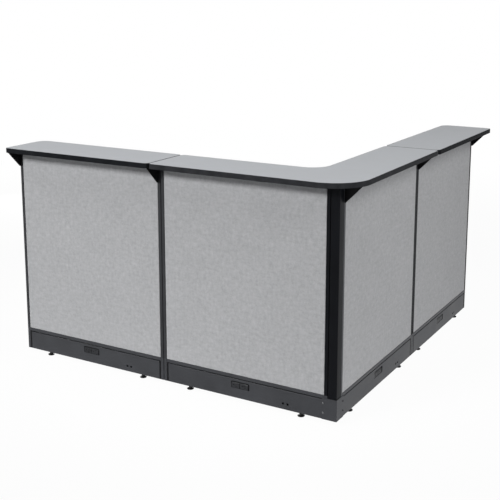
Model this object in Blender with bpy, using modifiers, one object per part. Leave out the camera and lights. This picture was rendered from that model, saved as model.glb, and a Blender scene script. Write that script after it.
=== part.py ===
"""L-shaped reception station: fabric-faced panels on powered bases, a corner post and a banded counter.

Metres, +Z up. The origin is on the floor, under the middle of the counter's outline. The left run stands
along X with its public face to -Y, and the right run stands along Y with its public face to +X. Each run,
and each panel in it, is modelled in its own frame: x to the right as the public sees it, y from the public
face through to the staff side, z up.
"""
import math

import bmesh
import bpy
from mathutils import Matrix, Vector

# Panels: width of one panel, its thickness, and the painted faces that show round the fabric
PANEL_WIDTH = 0.934
PANEL_THICKNESS = 0.0445
STILE_FACE = 0.0175
TOP_RAIL_HEIGHT = 0.0175
LOWER_RAIL_HEIGHT = 0.0175
BOARD_INSET = 0.001

# Heights of the whole station
OVERALL_HEIGHT = 1.1837
FOOT_HEIGHT = 0.0235

# Joints between panels and the corner post, and the gap that touching pieces keep
JOINT_GAP = 0.003
CONNECTOR_INSET = 0.006
POST_EDGE_RADIUS = 0.0015
FIT_GAP = 0.0003

# Base raceway: channel and its draw-off covers
CHANNEL_PLATE = 0.0025
CHANNEL_END = 0.0095
COVER_HEIGHT = 0.0985
COVER_REVEAL = 0.0035
COVER_SHEET = 0.0016
COVER_RETURN = 0.005
COVER_INSET = 0.0005

# Outlet opening in a cover, the power module behind it, and the pair of data ports
OUTLET_WIDTH = 0.105
OUTLET_HEIGHT = 0.036
OUTLET_RISE = 0.068
OUTLET_OFFSET = -0.009
OUTLET_TOP_RADIUS = 0.008
OUTLET_BOTTOM_RADIUS = 0.003
NOSE_CLEARANCE = 0.002
NOSE_RECESS = 0.0035
MODULE_MARGIN = 0.006
PORT_DIAMETER = 0.0095
PORT_PITCH = 0.025
PORT_OFFSET = 0.244
PORT_RISE = 0.029

# Levelling feet and the threaded bosses they screw into
FOOT_SPACING = 0.638
FOOT_DIAMETER = 0.036
FOOT_RIM = 0.006
FOOT_FLARE = 0.0095
FOOT_CHAMFER = 0.0015
COLLAR_DIAMETER = 0.017
STUD_DIAMETER = 0.008
STUD_CLEARANCE = 0.0004
STUD_REACH = 0.037
BOSS_WALL = 0.005
BOSS_HEIGHT = 0.026

# Corner base cover, which laps a little over the lower rails
CORNER_COVER_LAP = 0.005
CORNER_COVER_SHEET = 0.0016
CORNER_COVER_RADIUS = 0.003

# Counter: three boards with a band round their edges
COUNTER_DEPTH = 0.305
COUNTER_OVERHANG = 0.118
COUNTER_THICKNESS = 0.0254
COUNTER_BAND = 0.003
SEAM_GAP = 0.001
SEAM_SHIFT = -0.005
SEAM_RADIUS = 0.011
END_RADIUS = 0.05
OUTER_RADIUS = 0.19
INNER_RADIUS = 0.1

# Counter brackets, folded from sheet
BRACKET_SETBACK = 0.029
BRACKET_HEIGHT = 0.09
BRACKET_SHEET = 0.003
BRACKET_WALL_FLANGE = 0.0165
BRACKET_TOP_FLANGE = 0.024
BRACKET_NOSE = 0.006

# Facets, the distance at which a mesh is welded, and the angle past which an edge stays sharp
ROUND_STEPS = 16
ARC_STEPS = 4
LARGE_ARC_STEPS = 12
WELD_DISTANCE = 1e-6
SHARP_ANGLE = math.radians(30)

# Sizes that follow from the ones above
run_length = PANEL_THICKNESS + 2 * (JOINT_GAP + PANEL_WIDTH)
corner_offset = (run_length - COUNTER_OVERHANG) / 2
panel_top = OVERALL_HEIGHT - COUNTER_THICKNESS - FIT_GAP
lower_rail_bottom = FOOT_HEIGHT + COVER_HEIGHT + COVER_REVEAL
lower_rail_top = lower_rail_bottom + LOWER_RAIL_HEIGHT
window_width = PANEL_WIDTH - 2 * STILE_FACE
channel_width = window_width - 2 * FIT_GAP
channel_depth = PANEL_THICKNESS - 2 * (COVER_INSET + COVER_SHEET + FIT_GAP)
cover_width = channel_width - 2 * (CHANNEL_END + FIT_GAP)
plate_top = FOOT_HEIGHT + CHANNEL_PLATE
inner_panel_centre = PANEL_THICKNESS + JOINT_GAP + PANEL_WIDTH / 2
end_panel_centre = inner_panel_centre + PANEL_WIDTH + JOINT_GAP
post_joint = PANEL_THICKNESS + JOINT_GAP / 2
panel_joint = post_joint + PANEL_WIDTH + JOINT_GAP
seam = panel_joint + SEAM_SHIFT
bracket_reach = COUNTER_OVERHANG - BRACKET_SETBACK
middle_depth = PANEL_THICKNESS / 2

# Turns that stand a flat outline up: one as a wall seen from the front, one as a profile run along x
UPRIGHT = Matrix.Rotation(math.pi / 2, 4, "X")
ALONG_X = Matrix(((0, 0, 1, 0), (1, 0, 0, 0), (0, 1, 0, 0), (0, 0, 0, 1)))


def start_scene():
    """Clear the scene and return the collections for the station's parts and for the cutters."""
    for old in list(bpy.data.objects):
        bpy.data.objects.remove(old, do_unlink=True)
    made = []
    for name in ("reception_station", "cutters"):
        collection = bpy.data.collections.new(name)
        bpy.context.scene.collection.children.link(collection)
        made.append(collection)
    return made


parts, cutters = start_scene()


def paint(name, colour, roughness, metallic=0.0):
    """A Principled material of one colour."""
    material = bpy.data.materials.new(name)
    material.use_nodes = True
    shader = material.node_tree.nodes["Principled BSDF"]
    shader.inputs["Base Color"].default_value = (*colour, 1.0)
    shader.inputs["Roughness"].default_value = roughness
    shader.inputs["Metallic"].default_value = metallic
    return material


def baked(scratch):
    """The evaluated mesh of a scratch object, welded and facing out; the scratch object is removed."""
    depsgraph = bpy.context.evaluated_depsgraph_get()
    mesh = bpy.data.meshes.new_from_object(scratch.evaluated_get(depsgraph))
    bpy.data.objects.remove(scratch, do_unlink=True)
    welded = bmesh.new()
    welded.from_mesh(mesh)
    bmesh.ops.remove_doubles(welded, verts=welded.verts, dist=WELD_DISTANCE)
    bmesh.ops.recalc_face_normals(welded, faces=welded.faces)
    welded.to_mesh(mesh)
    welded.free()
    return mesh


def box(low, high):
    """A box mesh between two corners."""
    low, high = Vector(low), Vector(high)
    shape = bmesh.new()
    bmesh.ops.create_cube(shape, size=1.0)
    bmesh.ops.scale(shape, vec=high - low, verts=shape.verts)
    bmesh.ops.translate(shape, vec=(low + high) / 2, verts=shape.verts)
    mesh = bpy.data.meshes.new("box")
    shape.to_mesh(mesh)
    shape.free()
    return mesh


def rod(diameter, length, turn=Matrix.Identity(4), centre=(0, 0, 0)):
    """A round rod mesh along z, then turned and moved to its centre."""
    shape = bmesh.new()
    bmesh.ops.create_cone(shape, cap_ends=True, segments=ROUND_STEPS, depth=length,
                          radius1=diameter / 2, radius2=diameter / 2)
    mesh = bpy.data.meshes.new("rod")
    shape.to_mesh(mesh)
    shape.free()
    mesh.transform(Matrix.Translation(centre) @ turn)
    return mesh


def outline_solid(rings, depth, turn=Matrix.Identity(4), centre=(0, 0, 0)):
    """A flat outline, with any holes as further rings, given a depth, then turned and moved."""
    curve = bpy.data.curves.new("outline", "CURVE")
    curve.dimensions = "2D"
    curve.fill_mode = "BOTH"
    curve.extrude = depth / 2
    for ring in rings:
        spline = curve.splines.new("POLY")
        spline.points.add(len(ring) - 1)
        for point, (x, y) in zip(spline.points, ring):
            point.co = (x, y, 0, 1)
        spline.use_cyclic_u = True
    scratch = bpy.data.objects.new("outline", curve)
    cutters.objects.link(scratch)
    mesh = baked(scratch)
    bpy.data.curves.remove(curve)
    mesh.transform(Matrix.Translation(centre) @ turn)
    return mesh


def rounded(corners, inset=0.0):
    """A right-angled outline, drawn anticlockwise, moved in by inset and rounded at each (x, y, radius)."""
    points = []
    count = len(corners)
    for index, (x, y, radius) in enumerate(corners):
        here = Vector((x, y))
        back = (Vector(corners[index - 1][:2]) - here).normalized()
        ahead = (Vector(corners[(index + 1) % count][:2]) - here).normalized()
        bulges_out = ahead.cross(back) > 0
        inward = (back + ahead) if bulges_out else -(back + ahead)
        here = here + inward * inset
        radius = radius - inset if bulges_out else radius + inset
        steps = LARGE_ARC_STEPS if radius > END_RADIUS else ARC_STEPS
        for step in range(steps + 1):
            angle = math.pi / 2 * step / steps
            offset = (back + ahead) - ahead * math.cos(angle) - back * math.sin(angle)
            points.append(here + offset * radius)
    return points


def combined(mesh, tools, operation):
    """The mesh after a Boolean with each named tool mesh in turn. The tools stay as hidden cutters."""
    scratch = bpy.data.objects.new("blank", mesh)
    cutters.objects.link(scratch)
    for name, tool_mesh in tools:
        tool = bpy.data.objects.new(name, tool_mesh)
        tool.hide_render = True
        tool.display_type = "WIRE"
        cutters.objects.link(tool)
        modifier = scratch.modifiers.new(name, "BOOLEAN")
        modifier.operation = operation
        modifier.solver = "EXACT"
        modifier.object = tool
    return baked(scratch)


def turned(profile):
    """A solid of revolution about z from (radius, height) points that run from the top down."""
    mesh = bpy.data.meshes.new("profile")
    points = [(radius, 0, height) for radius, height in profile]
    links = [(index, index + 1) for index in range(len(points) - 1)]
    mesh.from_pydata(points, links, [])
    scratch = bpy.data.objects.new("profile", mesh)
    cutters.objects.link(scratch)
    screw = scratch.modifiers.new("turn", "SCREW")
    screw.steps = ROUND_STEPS
    screw.render_steps = ROUND_STEPS
    screw.use_merge_vertices = True
    screw.merge_threshold = WELD_DISTANCE
    return baked(scratch)


def place(name, mesh, material, parent, location=(0, 0, 0), turn=0.0):
    """Add one named part to the station, in its parent's frame."""
    part = bpy.data.objects.new(name, mesh)
    if not mesh.materials:
        mesh.materials.append(material)
    part.parent = parent
    part.location = location
    part.rotation_euler.z = turn
    parts.objects.link(part)
    return part


def guide(name, parent=None, location=(0, 0, 0), turn=0.0):
    """An empty that carries a run or a panel."""
    empty = bpy.data.objects.new(name, None)
    empty.parent = parent
    empty.location = location
    empty.rotation_euler.z = turn
    parts.objects.link(empty)
    return empty


def frame_shape():
    """Welded panel frame: two stiles down to the base's underside, a top rail and a lower rail."""
    outer, inner = PANEL_WIDTH / 2, window_width / 2
    outline = [(-outer, FOOT_HEIGHT), (-inner, FOOT_HEIGHT), (-inner, lower_rail_bottom),
               (inner, lower_rail_bottom), (inner, FOOT_HEIGHT), (outer, FOOT_HEIGHT),
               (outer, panel_top), (-outer, panel_top)]
    window_top = panel_top - TOP_RAIL_HEIGHT
    window = [(-inner, lower_rail_top), (-inner, window_top), (inner, window_top), (inner, lower_rail_top)]
    return outline_solid([outline, window], PANEL_THICKNESS, UPRIGHT, (0, middle_depth, 0))


def board_shape():
    """Fabric-wrapped board that fills the public half of the frame's window."""
    half = window_width / 2 - FIT_GAP
    back = middle_depth - FIT_GAP / 2
    return box((-half, BOARD_INSET, lower_rail_top + FIT_GAP),
               (half, back, panel_top - TOP_RAIL_HEIGHT - FIT_GAP))


def channel_shape():
    """Base channel: a floor plate between two end blocks, with a bored boss for each foot."""
    half = channel_width / 2
    near = middle_depth - channel_depth / 2
    far = middle_depth + channel_depth / 2
    floor = box((-half, near, FOOT_HEIGHT), (half, far, plate_top))
    additions = []
    bores = []
    for side in (-1, 1):
        edges = sorted((side * half, side * (half - CHANNEL_END)))
        block = box((edges[0], COVER_INSET, FOOT_HEIGHT),
                    (edges[1], PANEL_THICKNESS - COVER_INSET, lower_rail_bottom - FIT_GAP))
        additions.append(("channel_end_block", block))
        axis = (side * FOOT_SPACING / 2, middle_depth)
        boss_bottom = FOOT_HEIGHT + CHANNEL_PLATE / 2
        boss_top = plate_top + BOSS_HEIGHT
        bore_diameter = STUD_DIAMETER + 2 * STUD_CLEARANCE
        boss = rod(bore_diameter + 2 * BOSS_WALL, boss_top - boss_bottom,
                   centre=(*axis, (boss_top + boss_bottom) / 2))
        additions.append(("channel_boss", boss))
        bore = rod(bore_diameter, 2 * BOSS_HEIGHT + 2 * CHANNEL_PLATE, centre=(*axis, plate_top))
        bores.append(("channel_bore", bore))
    return combined(combined(floor, additions, "UNION"), bores, "DIFFERENCE")


def outlet_outline(inset=0.0):
    """Outlet opening as seen from the front, above the base's underside, moved in by inset."""
    half = OUTLET_WIDTH / 2
    low = OUTLET_RISE - OUTLET_HEIGHT / 2
    high = OUTLET_RISE + OUTLET_HEIGHT / 2
    return rounded([(-half, low, OUTLET_BOTTOM_RADIUS), (half, low, OUTLET_BOTTOM_RADIUS),
                    (half, high, OUTLET_TOP_RADIUS), (-half, high, OUTLET_TOP_RADIUS)], inset)


def cover_shape():
    """Raceway cover: a folded sheet with a lip at top and bottom, an outlet opening and two port holes."""
    lip = CHANNEL_PLATE + FIT_GAP
    sheet = COVER_SHEET
    profile = [(0, 0), (sheet, 0), (sheet, lip), (COVER_RETURN, lip), (COVER_RETURN, lip + sheet),
               (sheet, lip + sheet), (sheet, COVER_HEIGHT - sheet), (COVER_RETURN, COVER_HEIGHT - sheet),
               (COVER_RETURN, COVER_HEIGHT), (0, COVER_HEIGHT)]
    folded = outline_solid([profile], cover_width, ALONG_X, (0, COVER_INSET, FOOT_HEIGHT))
    through = 4 * COVER_SHEET
    face = COVER_INSET + COVER_SHEET / 2
    opening = outline_solid([outlet_outline()], through, UPRIGHT, (OUTLET_OFFSET, face, FOOT_HEIGHT))
    cuts = [("cover_outlet_cutter", opening)]
    for side in (-1, 1):
        centre = (PORT_OFFSET + side * PORT_PITCH / 2, face, FOOT_HEIGHT + PORT_RISE)
        cuts.append(("cover_port_cutter", rod(PORT_DIAMETER, through, UPRIGHT, centre)))
    return combined(folded, cuts, "DIFFERENCE")


def module_shape():
    """Power module: a box on the channel floor with a receptacle nose in each cover's opening."""
    half = OUTLET_WIDTH / 2 + abs(OUTLET_OFFSET) + MODULE_MARGIN
    near = COVER_INSET + COVER_RETURN + FIT_GAP
    top = FOOT_HEIGHT + OUTLET_RISE + OUTLET_HEIGHT / 2 + MODULE_MARGIN
    body = box((-half, near, plate_top + FIT_GAP), (half, PANEL_THICKNESS - near, top))
    nose_face = COVER_INSET + NOSE_RECESS
    nose_reach = middle_depth - nose_face
    noses = []
    for along, depth in ((OUTLET_OFFSET, nose_face + nose_reach / 2),
                         (-OUTLET_OFFSET, PANEL_THICKNESS - nose_face - nose_reach / 2)):
        nose = outline_solid([outlet_outline(NOSE_CLEARANCE)], nose_reach, UPRIGHT,
                             (along, depth, FOOT_HEIGHT))
        noses.append(("module_nose", nose))
    return combined(body, noses, "UNION")


def foot_shape():
    """Levelling foot: a rim, a flare up to the collar that seats on the base's underside, and a stud."""
    disc, collar, stud = FOOT_DIAMETER / 2, COLLAR_DIAMETER / 2, STUD_DIAMETER / 2
    seat = FOOT_HEIGHT - FIT_GAP
    top = seat + STUD_REACH
    return turned([(0, top), (stud, top), (stud, seat), (collar, seat), (collar, FOOT_RIM + FOOT_FLARE),
                   (disc, FOOT_RIM), (disc, FOOT_CHAMFER), (disc - FOOT_CHAMFER, 0), (0, 0)])


def connector_shape():
    """Connector bar that draws two uprights together, set back from both faces of the joint."""
    half = JOINT_GAP / 2 - FIT_GAP
    return box((-half, CONNECTOR_INSET, FOOT_HEIGHT), (half, PANEL_THICKNESS - CONNECTOR_INSET, panel_top))


def post_shape():
    """Square corner post with eased edges, as thick as the panels it joins."""
    edge = POST_EDGE_RADIUS
    plan = rounded([(-PANEL_THICKNESS, 0, edge), (0, 0, edge), (0, PANEL_THICKNESS, edge),
                    (-PANEL_THICKNESS, PANEL_THICKNESS, edge)])
    return outline_solid([plan], panel_top - FOOT_HEIGHT, centre=(0, 0, (panel_top + FOOT_HEIGHT) / 2))


corner_leg = PANEL_THICKNESS + JOINT_GAP + STILE_FACE + FIT_GAP + CHANNEL_END
corner_cover_top = lower_rail_bottom + CORNER_COVER_LAP


def corner_cover_shape():
    """Angle plate that wraps the corner post's foot and laps onto the base beside it."""
    inner, outer = FIT_GAP, FIT_GAP + CORNER_COVER_SHEET
    square = CORNER_COVER_SHEET / 4
    plan = rounded([(-corner_leg, -outer, square), (outer, -outer, CORNER_COVER_RADIUS),
                    (outer, corner_leg, square), (inner, corner_leg, square),
                    (inner, -inner, square), (-corner_leg, -inner, square)])
    return outline_solid([plan], corner_cover_top - FOOT_HEIGHT,
                         centre=(0, 0, (corner_cover_top + FOOT_HEIGHT) / 2))


counter_rear = COUNTER_DEPTH - COUNTER_OVERHANG
counter_middle = OVERALL_HEIGHT - COUNTER_THICKNESS / 2
end_start = seam + SEAM_GAP / 2
corner_stop = seam - SEAM_GAP / 2

# Plans of the three counter boards, in the frames of the left run, the corner and the right run
counter_plans = {
    "left_counter": [
        (-run_length, -COUNTER_OVERHANG, SEAM_RADIUS), (-end_start, -COUNTER_OVERHANG, SEAM_RADIUS),
        (-end_start, counter_rear, SEAM_RADIUS), (-run_length, counter_rear, END_RADIUS)],
    "corner_counter": [
        (-corner_stop, -COUNTER_OVERHANG, SEAM_RADIUS), (COUNTER_OVERHANG, -COUNTER_OVERHANG, OUTER_RADIUS),
        (COUNTER_OVERHANG, corner_stop, SEAM_RADIUS), (-counter_rear, corner_stop, SEAM_RADIUS),
        (-counter_rear, counter_rear, INNER_RADIUS), (-corner_stop, counter_rear, SEAM_RADIUS)],
    "right_counter": [
        (end_start, -COUNTER_OVERHANG, SEAM_RADIUS), (run_length, -COUNTER_OVERHANG, SEAM_RADIUS),
        (run_length, counter_rear, END_RADIUS), (end_start, counter_rear, SEAM_RADIUS)],
}


def counter_board_shape(plan):
    """Laminate-faced counter board, inside its edge band."""
    outline = rounded(plan, COUNTER_BAND + FIT_GAP)
    return outline_solid([outline], COUNTER_THICKNESS, centre=(0, 0, counter_middle))


def counter_band_shape(plan):
    """Edge band that runs round one counter board."""
    rings = [rounded(plan), rounded(plan, COUNTER_BAND)]
    return outline_solid(rings, COUNTER_THICKNESS, centre=(0, 0, counter_middle))


def bracket_shape(hand):
    """Counter bracket folded from sheet: a gusset with a wall flange and a top flange on its hand side."""
    top = panel_top
    bottom = top - BRACKET_HEIGHT
    wall = -FIT_GAP
    tip = wall - bracket_reach
    gusset = [(wall, top), (tip, top), (tip, top - BRACKET_NOSE),
              (wall - BRACKET_NOSE, bottom), (wall, bottom)]
    web = outline_solid([gusset], BRACKET_SHEET, ALONG_X, (hand * BRACKET_SHEET / 2, 0, 0))
    wall_edges = sorted((0, hand * BRACKET_WALL_FLANGE))
    wall_flange = box((wall_edges[0], wall - BRACKET_SHEET, bottom), (wall_edges[1], wall, top))
    top_edges = sorted((0, hand * BRACKET_TOP_FLANGE))
    top_flange = box((top_edges[0], tip, top - BRACKET_SHEET), (top_edges[1], wall, top))
    return combined(web, [("bracket_wall_flange", wall_flange), ("bracket_top_flange", top_flange)], "UNION")


charcoal_paint = paint("charcoal_paint", (0.035, 0.036, 0.039), 0.42)
cover_paint = paint("cover_paint", (0.075, 0.077, 0.083), 0.5)
black_paint = paint("black_paint", (0.012, 0.012, 0.013), 0.45)
panel_fabric = paint("panel_fabric", (0.40, 0.40, 0.41), 0.95)
counter_laminate = paint("counter_laminate", (0.45, 0.46, 0.48), 0.35)
band_plastic = paint("band_plastic", (0.018, 0.019, 0.021), 0.4)
outlet_plastic = paint("outlet_plastic", (0.01, 0.01, 0.011), 0.35)
foot_coating = paint("foot_coating", (0.01, 0.01, 0.01), 0.5)

corner = (corner_offset, -corner_offset, 0)
left_run = guide("left_run", location=corner)
right_run = guide("right_run", location=corner, turn=math.pi / 2)

panel_places = {
    "left_end": (left_run, -end_panel_centre),
    "left_inner": (left_run, -inner_panel_centre),
    "right_inner": (right_run, inner_panel_centre),
    "right_end": (right_run, end_panel_centre),
}

frame_mesh = frame_shape()
board_mesh = board_shape()
channel_mesh = channel_shape()
cover_mesh = cover_shape()
module_mesh = module_shape()
foot_mesh = foot_shape()

for panel, (run, centre) in panel_places.items():
    holder = guide(panel + "_panel", run, (centre, 0, 0))
    place(panel + "_frame", frame_mesh, charcoal_paint, holder)
    place(panel + "_base_channel", channel_mesh, charcoal_paint, holder)
    place(panel + "_power_module", module_mesh, outlet_plastic, holder)
    for side, depth, turn in (("public", 0, 0), ("staff", PANEL_THICKNESS, math.pi)):
        place(f"{panel}_{side}_board", board_mesh, panel_fabric, holder, (0, depth, 0), turn)
        place(f"{panel}_{side}_cover", cover_mesh, cover_paint, holder, (0, depth, 0), turn)
    for side, sign in (("left", -1), ("right", 1)):
        place(f"{panel}_{side}_foot", foot_mesh, foot_coating, holder,
              (sign * FOOT_SPACING / 2, middle_depth, 0))

connector_mesh = connector_shape()
connector_places = {
    "left_panel_connector": (left_run, -panel_joint),
    "left_post_connector": (left_run, -post_joint),
    "right_post_connector": (right_run, post_joint),
    "right_panel_connector": (right_run, panel_joint),
}
for name, (run, along) in connector_places.items():
    place(name, connector_mesh, black_paint, run, (along, 0, 0))

place("corner_post", post_shape(), charcoal_paint, left_run)
place("corner_base_cover", corner_cover_shape(), cover_paint, left_run)

counter_runs = {"left_counter": left_run, "corner_counter": left_run, "right_counter": right_run}
for name, plan in counter_plans.items():
    place(name, counter_board_shape(plan), counter_laminate, counter_runs[name])
    place(name + "_band", counter_band_shape(plan), band_plastic, counter_runs[name])

# A bracket's gusset stands on the left edge of a stile, except at the far right end, where it is handed
bracket_meshes = {1: bracket_shape(1), -1: bracket_shape(-1)}
next_stile = panel_joint + JOINT_GAP / 2
near_stile = post_joint + JOINT_GAP / 2
bracket_places = {
    "left_end": (left_run, -run_length, 1),
    "left_joint": (left_run, -next_stile - STILE_FACE, 1),
    "corner": (right_run, near_stile, 1),
    "right_joint": (right_run, next_stile, 1),
    "right_end": (right_run, run_length, -1),
}
for name, (run, along, hand) in bracket_places.items():
    sides = [("public", 0, 0, hand)]
    if name != "corner":
        sides.append(("staff", PANEL_THICKNESS, math.pi, -hand))
    for side, depth, turn, side_hand in sides:
        place(f"{name}_{side}_bracket", bracket_meshes[side_hand], black_paint, run,
              (along, depth, 0), turn)

for part in parts.objects:
    if part.type == "MESH":
        part.data.shade_smooth()
        part.data.set_sharp_from_angle(angle=SHARP_ANGLE)
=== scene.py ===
"""Looks of an L-shaped reception station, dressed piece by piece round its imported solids.

Metres, +Z up. A panel's pieces are worked out as right, inward and up, the way someone who faces the panel
sees them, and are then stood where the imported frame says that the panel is.
"""

import bmesh
import bpy
import numpy as np
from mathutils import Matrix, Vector


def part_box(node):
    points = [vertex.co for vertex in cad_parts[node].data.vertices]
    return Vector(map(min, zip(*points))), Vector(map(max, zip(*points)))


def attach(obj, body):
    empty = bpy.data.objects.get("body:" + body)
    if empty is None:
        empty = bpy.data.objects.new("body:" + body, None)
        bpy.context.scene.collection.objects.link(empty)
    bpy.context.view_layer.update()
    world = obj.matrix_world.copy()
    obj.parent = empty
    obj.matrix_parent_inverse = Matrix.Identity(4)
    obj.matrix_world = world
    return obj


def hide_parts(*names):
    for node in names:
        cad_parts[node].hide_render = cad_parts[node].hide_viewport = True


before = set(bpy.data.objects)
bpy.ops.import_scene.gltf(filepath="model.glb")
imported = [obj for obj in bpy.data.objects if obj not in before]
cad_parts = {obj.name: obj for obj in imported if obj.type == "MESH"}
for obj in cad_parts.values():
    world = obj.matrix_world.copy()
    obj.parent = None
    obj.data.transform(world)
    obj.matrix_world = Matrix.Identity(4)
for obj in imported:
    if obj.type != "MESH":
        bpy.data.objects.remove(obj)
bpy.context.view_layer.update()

# Panel frames
# Each panel hangs on a welded frame of rectangular steel tube: two stiles and a top rail between them. The
# tube has rolled corners and a satin charcoal powder coat, which on the right run is coloured darker as
# painted shade. The stiles beside the post are made with it below.
PANELS = ("left_end", "left_inner", "right_inner", "right_end")
POST_STILES = {"left_inner": "right", "right_inner": "left"}
FIT_GAP = 0.0003
TUBE_CORNER = 0.0022
TUBE_SIDE_STEPS = 12
TUBE_TURN_STEPS = 4
SMOOTH_BELOW = np.radians(32)
# The right run's charcoal is darker than the left's: painted shade on one coat.
CHARCOAL_AND_RIGHT_SHADE = {"left": (0.036, 0.037, 0.040), "right": (0.012, 0.0125, 0.014)}
CHARCOAL_SPECULAR = {"left": 0.08, "right": 0.04}
PAINT_TONE_SWING = 0.16
PAINT_GLOSS_SWING = 0.05
PAINT_PEEL_STRENGTH = 0.12
PAINT_PEEL_DEPTH = 0.0004
NOISE_BAND = (0.3, 0.7)


def box_of(node):
    """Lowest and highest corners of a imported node, as arrays."""
    low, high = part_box(node)
    return np.array(low), np.array(high)


def panel_axes(panel, side):
    """Where one face of a panel stands: its foot at mid width, and its right, inward and up directions."""
    low, high = box_of(panel + "_frame")
    right, inward = np.eye(3)[:2] if panel.startswith("left") else (np.eye(3)[1], -np.eye(3)[0])
    if side == "staff":
        right, inward = -right, -inward
    foot = (low + high) / 2 - inward * ((high - low) @ np.abs(inward)) / 2
    foot[2] = 0
    return foot, np.stack([right, inward, np.eye(3)[2]])


def stood(shell, panel, side="public"):
    """A shell given as right, inward and up, stood where that face of the panel is."""
    points, faces = shell
    foot, directions = panel_axes(panel, side)
    return foot + points @ directions, faces


def quads(rows, columns, wrap=False):
    """Corner numbers of a grid's quads, row by row. A wrapped grid joins its last column to its first."""
    row, column = np.meshgrid(np.arange(rows - 1), np.arange(columns - (not wrap)), indexing="ij")
    ahead = (column + 1) % columns
    corners = [row * columns + column, row * columns + ahead,
               (row + 1) * columns + ahead, (row + 1) * columns + column]
    return np.stack(corners, -1).reshape(-1, 4).tolist()


def upright(outline, heights):
    """A flat outline repeated at each height, as rings one above the other."""
    return np.stack([np.column_stack([outline, np.full(len(outline), height)]) for height in heights])


def skinned(rings):
    """A stack of closed rings, skinned with quads and closed by a flat cap at each end."""
    stations, count = rings.shape[:2]
    caps = [list(range(count))[::-1], list(range((stations - 1) * count, stations * count))]
    return rings.reshape(-1, 3), quads(stations, count, wrap=True) + caps


def joined(shells):
    """Several shells of points and faces as one."""
    starts = np.cumsum([0] + [len(points) for points, _ in shells])
    faces = [[int(start) + corner for corner in face]
             for start, (_, shell) in zip(starts, shells) for face in shell]
    return np.concatenate([points for points, _ in shells]), faces


def rounded_rim(low, high, radii, steps, turn_steps):
    """Loop round a rectangle with rounded corners, anticlockwise from the middle of its lower left arc. Each
    side takes its count of steps: half an arc, an even straight run, and half the next arc."""
    corners = np.array([low, (high[0], low[1]), high, (low[0], high[1])])
    radii = np.broadcast_to(radii, 4)[:, None]
    centres = corners + np.array([(1, 1), (-1, 1), (-1, -1), (1, -1)]) * radii
    half_turn = np.pi / 4 * np.arange(turn_steps + 1) / turn_steps

    def arc(corner, angle):
        """Points of one corner's arc at these angles."""
        return centres[corner] + radii[corner] * np.stack([np.cos(angle), np.sin(angle)], -1)

    runs = []
    for side, count in enumerate(tuple(steps) * 2):
        middle = np.pi * (1.25 + 0.5 * side)
        leaving = arc(side, middle + half_turn)
        arriving = arc((side + 1) % 4, middle + np.pi / 4 + half_turn)
        share = np.linspace(0, 1, count - 2 * turn_steps, endpoint=False)[:, None]
        straight = leaving[-1] + (arriving[0] - leaving[-1]) * share
        runs.append(np.concatenate([leaving[:-1], straight, arriving[:-1]]))
    return np.concatenate(runs)


def wire(tree, kind, sockets=None, **properties):
    """Add one shader node; a socket takes a plain value or the output socket of another node."""
    made = tree.nodes.new(kind)
    for key, value in properties.items():
        setattr(made, key, value)
    for key, value in (sockets or {}).items():
        if isinstance(value, bpy.types.NodeSocket):
            tree.links.new(value, made.inputs[key])
        else:
            made.inputs[key].default_value = value
    return made


def new_finish(name, **constants):
    """A material with its node tree and its Principled shader, whose constant sockets are set."""
    material = bpy.data.materials.new(name)
    material.use_nodes = True
    tree = material.node_tree
    shader = tree.nodes["Principled BSDF"]
    for key, value in constants.items():
        shader.inputs[key.replace("_", " ")].default_value = value
    return material, tree, shader


def shades(tree, factor, dark, light):
    """Colour that runs from dark to light as the factor goes from 0 to 1."""
    mix = wire(tree, "ShaderNodeMix", data_type="RGBA")
    tree.links.new(factor, mix.inputs["Factor"])
    mix.inputs["A"].default_value = (*dark, 1)
    mix.inputs["B"].default_value = (*light, 1)
    return mix.outputs["Result"]


def ranged(tree, value, low, high, into_low, into_high):
    """A value moved from one range into another and held there."""
    made = wire(tree, "ShaderNodeMapRange", {"Value": value, "From Min": low, "From Max": high,
                                             "To Min": into_low, "To Max": into_high})
    return made.outputs["Result"]


def noise(tree, place, scale, detail):
    """Noise over a surface, whose values lie mostly within the noise band."""
    made = wire(tree, "ShaderNodeTexNoise", {"Vector": place, "Scale": scale, "Detail": detail})
    return made.outputs["Fac"]


def mottle(tree, shader, cloud, colour, tone_swing, roughness, gloss_swing):
    """Let a cloud of noise carry the colour and the roughness as far below their middle values as above."""
    colour = np.array(colour)
    tone = ranged(tree, cloud, *NOISE_BAND, 0, 1)
    mixed = shades(tree, tone, colour * (1 - tone_swing), colour * (1 + tone_swing))
    gloss = ranged(tree, cloud, *NOISE_BAND, roughness - gloss_swing, roughness + gloss_swing)
    tree.links.new(mixed, shader.inputs["Base Color"])
    tree.links.new(gloss, shader.inputs["Roughness"])


def emboss(tree, shader, height, strength, depth):
    """Tilt the shader's normal by a height that is this deep."""
    bump = wire(tree, "ShaderNodeBump", {"Height": height, "Strength": strength, "Distance": depth})
    tree.links.new(bump.outputs["Normal"], shader.inputs["Normal"])


def powder_coat(name, colour, roughness, specular=0.5):
    """Sprayed and baked paint: slow drifts of tone and gloss, and a fine orange peel."""
    material, tree, shader = new_finish(name, IOR=1.5, Specular_IOR_Level=specular)
    place = wire(tree, "ShaderNodeTexCoord").outputs["Object"]
    drift = noise(tree, place, scale=7.0, detail=4.0)
    peel = noise(tree, place, scale=520.0, detail=2.0)
    mottle(tree, shader, drift, colour, PAINT_TONE_SWING, roughness, PAINT_GLOSS_SWING)
    emboss(tree, shader, peel, PAINT_PEEL_STRENGTH, PAINT_PEEL_DEPTH)
    return material


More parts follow.
